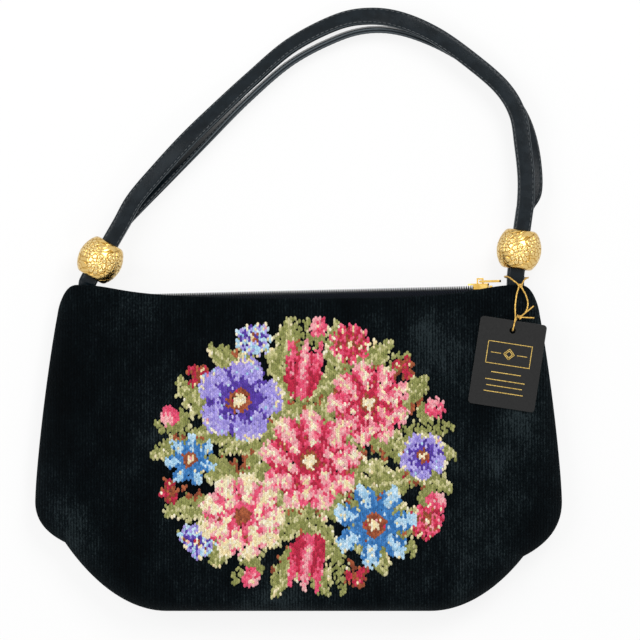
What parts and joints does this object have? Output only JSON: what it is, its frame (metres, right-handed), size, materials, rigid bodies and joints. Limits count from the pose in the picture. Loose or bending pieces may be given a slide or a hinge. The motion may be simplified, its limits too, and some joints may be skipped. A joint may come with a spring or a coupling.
{
  "type": "zipped handbag",
  "caption": "Small zipped handbag of black chenille with a woven bouquet, twin leather straps through barrel beads and a blank swing tag.",
  "frame": {"origin": "on the surface that the bag lies on, in the middle of its outline seen from above", "axes": "+X along the mouth to the wearer's right as the front is seen, +Y from the base to the straps, +Z out of the front"},
  "size_m": [0.3, 0.3438, 0.0304],
  "materials": {
    "chenille_black": "deep chenille pile",
    "lining_cloth": "plain satin weave",
    "zip_tape": "woven tape",
    "zip_nylon": "moulded nylon",
    "zip_metal": "polished gold plate",
    "strap_leather": "grained, stitched edges",
    "bead_gold": "engraved gold plate",
    "tag_card": "gloss coated card",
    "thread_gold": "twisted metallic thread",
    "pile_olive": "cut chenille pile",
    "pile_pale_green": "cut chenille pile",
    "pile_rose": "cut chenille pile",
    "pile_pale_pink": "cut chenille pile",
    "pile_crimson": "cut chenille pile",
    "pile_cream": "cut chenille pile",
    "pile_rust": "cut chenille pile",
    "pile_violet": "cut chenille pile",
    "pile_lavender": "cut chenille pile",
    "pile_blue": "cut chenille pile",
    "pile_pale_blue": "cut chenille pile"
  },
  "bodies": {
    "bag": {"front_panel": "chenille_black", "back_panel": "chenille_black", "lining_front": "lining_cloth", "lining_back": "lining_cloth", "zip_tape_front": "zip_tape", "zip_tape_back": "zip_tape", "zip_teeth_front": "zip_nylon", "zip_teeth_back": "zip_nylon", "zip_top_stops": "zip_metal", "zip_bottom_stop": "zip_metal", "strap_over": "strap_leather", "strap_under": "strap_leather", "swing_tag": "tag_card", "tag_thread": "thread_gold", "pile_olive": "pile_olive", "pile_pale_green": "pile_pale_green", "pile_rose": "pile_rose", "pile_pale_pink": "pile_pale_pink", "pile_crimson": "pile_crimson", "pile_cream": "pile_cream", "pile_rust": "pile_rust", "pile_violet": "pile_violet", "pile_lavender": "pile_lavender", "pile_blue": "pile_blue", "pile_pale_blue": "pile_pale_blue"},
    "slider": {"zip_slider": "zip_metal"},
    "pull": {"zip_pull": "zip_metal"},
    "left_bead": {"bead_left": "bead_gold"},
    "right_bead": {"bead_right": "bead_gold"}
  },
  "joints": [
    {"name": "zip_slide", "type": "slide", "parent": "bag", "child": "slider", "axis": [-0.9997, -0.0244, 0], "range_m": [0, 0.193]},
    {"name": "pull_hinge", "type": "hinge", "parent": "slider", "child": "pull", "pos_m": [0.10341, 0.01589, 0.012], "axis": [0, 0, 1], "range_deg": [0, 170]},
    {"name": "left_bead_slide", "type": "slide", "parent": "bag", "child": "left_bead", "axis": [0.5, 0.866, 0], "range_m": [0, 0.01]},
    {"name": "right_bead_slide", "type": "slide", "parent": "bag", "child": "right_bead", "axis": [0.1392, 0.9903, 0], "range_m": [0, 0.01]}
  ]
}
